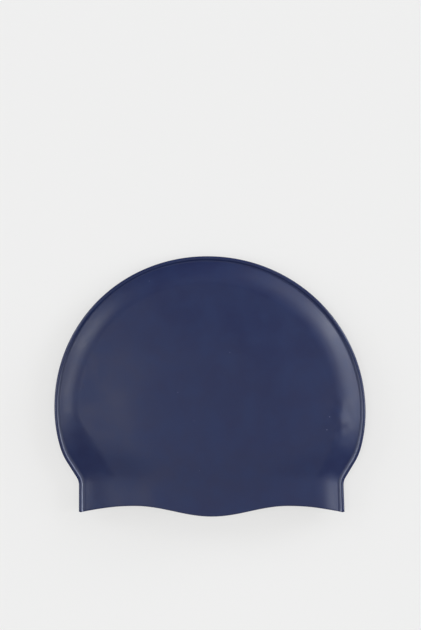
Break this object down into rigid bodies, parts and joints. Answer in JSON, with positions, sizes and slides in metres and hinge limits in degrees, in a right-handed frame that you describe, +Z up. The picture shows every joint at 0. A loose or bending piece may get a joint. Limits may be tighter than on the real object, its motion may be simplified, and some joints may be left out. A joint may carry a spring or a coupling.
{
  "type": "swim cap",
  "caption": "Moulded silicone swim cap lying empty on its side, with a beaded seam over the dome, a straight collar and a waved rim that drops over the ears.",
  "frame": {"origin": "on the surface that the cap lies on, under the middle of the cap's outline", "axes": "+X along the cap's width, from the wearer's back to front; +Y from the opening to the top of the dome; +Z up from the surface, through the cap's thickness"},
  "size_m": [0.225, 0.1868, 0.0245],
  "materials": {
    "silicone": "satin moulded silicone rubber, navy blue"
  },
  "bodies": {
    "root": {"cap_shell": "silicone"}
  },
  "joints": []
}
